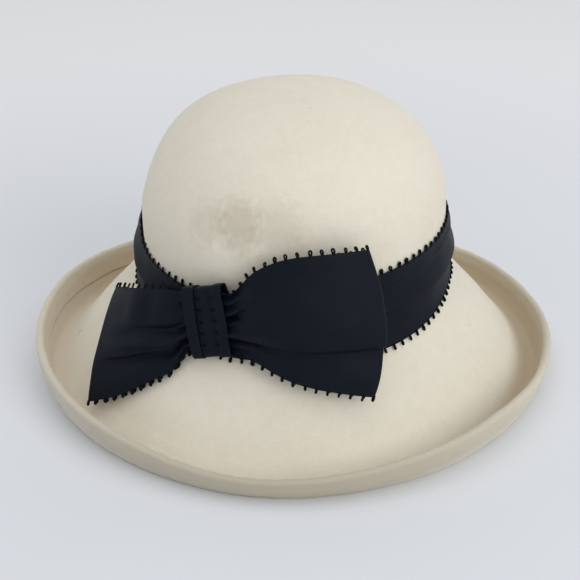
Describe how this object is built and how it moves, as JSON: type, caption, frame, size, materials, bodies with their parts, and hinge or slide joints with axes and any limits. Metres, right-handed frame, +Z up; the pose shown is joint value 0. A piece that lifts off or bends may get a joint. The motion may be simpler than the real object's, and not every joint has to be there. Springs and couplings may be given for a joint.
{
  "type": "wool felt hat",
  "caption": "Round felt hat with a domed crown, sloping brim and upturned rim, a pleated ribbon band and a flat bow at the front.",
  "frame": {"origin": "on the surface the hat rests on, below the middle of the brim", "axes": "+Z up along the crown's axis, +Y from the front with the bow to the back, which is the longer way of the oval, +X to the right seen from the front"},
  "size_m": [0.3128, 0.3246, 0.166],
  "materials": {
    "felt": "cream wool felt, matt and slightly fuzzy",
    "ribbon": "very dark navy ribbon with a fine cross rib and a soft sheen",
    "picot": "black twisted thread"
  },
  "bodies": {
    "root": {"felt_body": "felt", "ribbon_band": "ribbon", "bow_loops": "ribbon", "bow_knot": "ribbon"}
  },
  "joints": []
}
